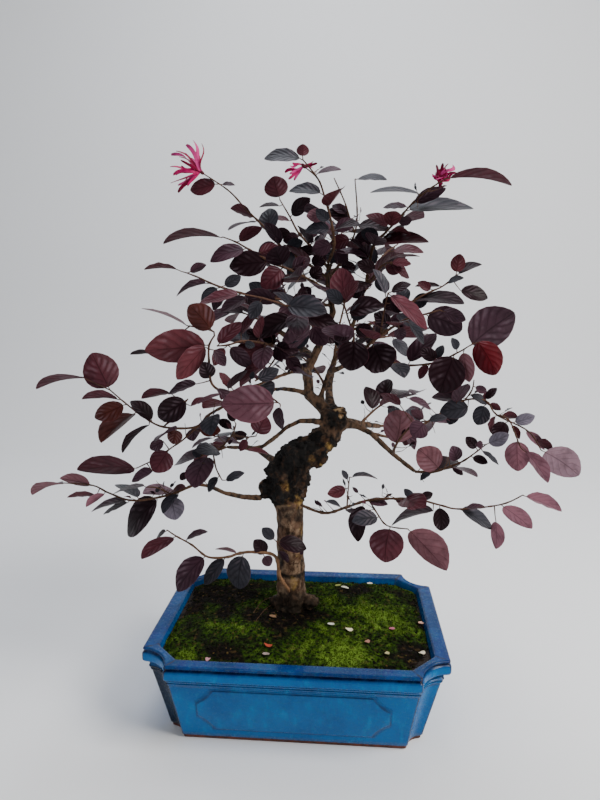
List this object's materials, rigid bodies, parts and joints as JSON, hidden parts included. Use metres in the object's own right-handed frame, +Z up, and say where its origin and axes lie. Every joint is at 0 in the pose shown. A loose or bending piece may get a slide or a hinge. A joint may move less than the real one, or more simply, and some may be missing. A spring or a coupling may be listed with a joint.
{
  "type": "chinese fringe flower bonsai",
  "caption": "Red-leaved chinese fringe flower bonsai with a gnarled trunk, leafy sprays and pink strap-petalled flowers, growing in a blue glazed rectangular pot.",
  "frame": {"origin": "middle of the pot's flat underside", "axes": "+X right along the pot's length, +Y away from the front of the pot, +Z up"},
  "size_m": [0.4637, 0.2799, 0.4878],
  "materials": {
    "glaze": "glossy blue ceramic glaze",
    "soil": "dark soil under moss",
    "screen": "matt black mesh",
    "bark": "rough bark",
    "leaf": "semi-gloss dark burgundy leaf",
    "petal": "soft pink petal"
  },
  "bodies": {
    "root": {"bloom_left": "petal", "bloom_right": "petal", "bloom_top": "petal", "drain_screen_left": "screen", "drain_screen_right": "screen", "pot": "glaze", "soil": "soil", "spray_back_far_right": "leaf", "spray_back_high": "leaf", "spray_back_left": "leaf", "spray_back_low_left": "leaf", "spray_back_low_right": "leaf", "spray_back_middle": "leaf", "spray_back_right": "leaf", "spray_back_upright": "leaf", "spray_bloom_left": "leaf", "spray_bloom_right": "leaf", "spray_bloom_top": "leaf", "spray_crown_front": "leaf", "spray_crown_left": "leaf", "spray_cut_twig": "leaf", "spray_dark_heart": "leaf", "spray_left_far": "leaf", "spray_left_inner": "leaf", "spray_left_long": "leaf", "spray_left_low": "leaf", "spray_left_short": "leaf", "spray_right_drop": "leaf", "spray_right_far": "leaf", "spray_right_front": "leaf", "spray_right_high": "leaf", "spray_right_low": "leaf", "spray_right_mid": "leaf", "spray_right_round": "leaf", "spray_rust": "leaf", "spray_sucker": "leaf", "spray_top_back": "leaf", "spray_top_right": "leaf", "spray_trunk_shoot": "leaf", "spray_upright_left": "leaf", "spray_wine": "leaf", "trunk": "bark"}
  },
  "joints": []
}
